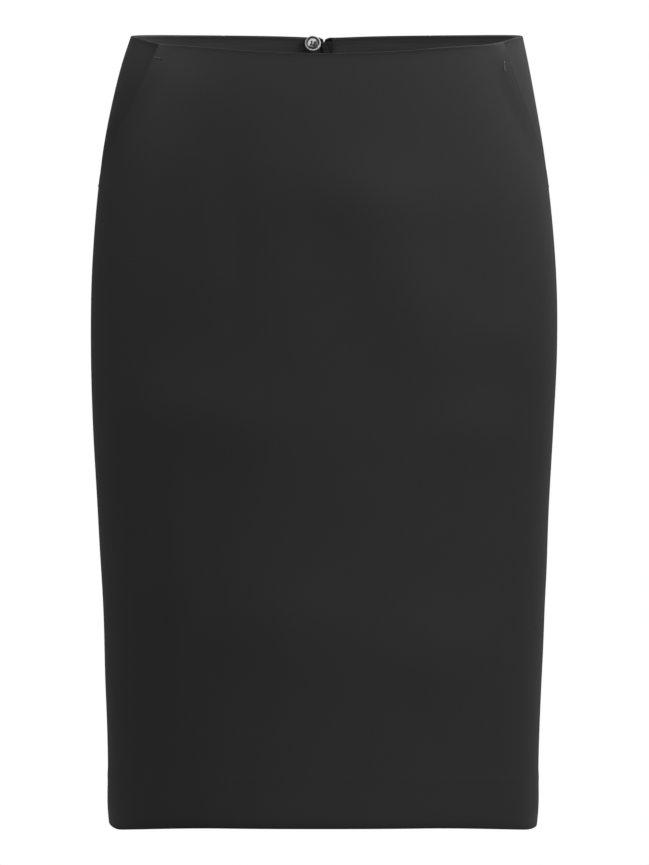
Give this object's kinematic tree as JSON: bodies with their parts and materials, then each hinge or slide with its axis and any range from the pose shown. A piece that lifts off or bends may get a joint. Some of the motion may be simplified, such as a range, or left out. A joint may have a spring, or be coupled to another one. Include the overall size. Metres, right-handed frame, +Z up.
{
  "type": "pencil skirt",
  "caption": "Knee-length pencil skirt, filled out as worn: a hollow tube of dark cloth with slant hip pockets, a concealed zip at the centre back and a walking vent in the hem.",
  "frame": {"origin": "middle of the waist opening, level with the waist edge at the sides", "axes": "+Z up from the hem to the waist, +Y towards the back, +X towards the wearer's left"},
  "size_m": [0.3583, 0.2339, 0.61],
  "materials": {
    "shell_cloth": "near-black fine smooth weave, soft low sheen",
    "facing_cloth": "the same cloth, fused, flat and even",
    "zip_tape": "black knitted tape, matt",
    "zip_metal": "black enamel, satin",
    "button": "dark grey polyester, glossy rim and dish"
  },
  "bodies": {
    "garment": {"front_panel": "shell_cloth", "hip_piece_left": "shell_cloth", "hip_piece_right": "shell_cloth", "back_panel_left": "shell_cloth", "back_panel_right": "shell_cloth", "front_facing": "facing_cloth", "back_facing_left": "facing_cloth", "back_facing_right": "facing_cloth", "zip_tape_left": "zip_tape", "zip_tape_right": "zip_tape", "zip_slider": "zip_metal", "waist_button": "button"},
    "pull_tab": {"zip_pull": "zip_metal"}
  },
  "joints": [
    {"name": "pull_swing", "type": "hinge", "parent": "garment", "child": "pull_tab", "pos_m": [0.00064, 0.09646, -0.01854], "axis": [1, 0, 0], "range_deg": [0, 150]}
  ]
}
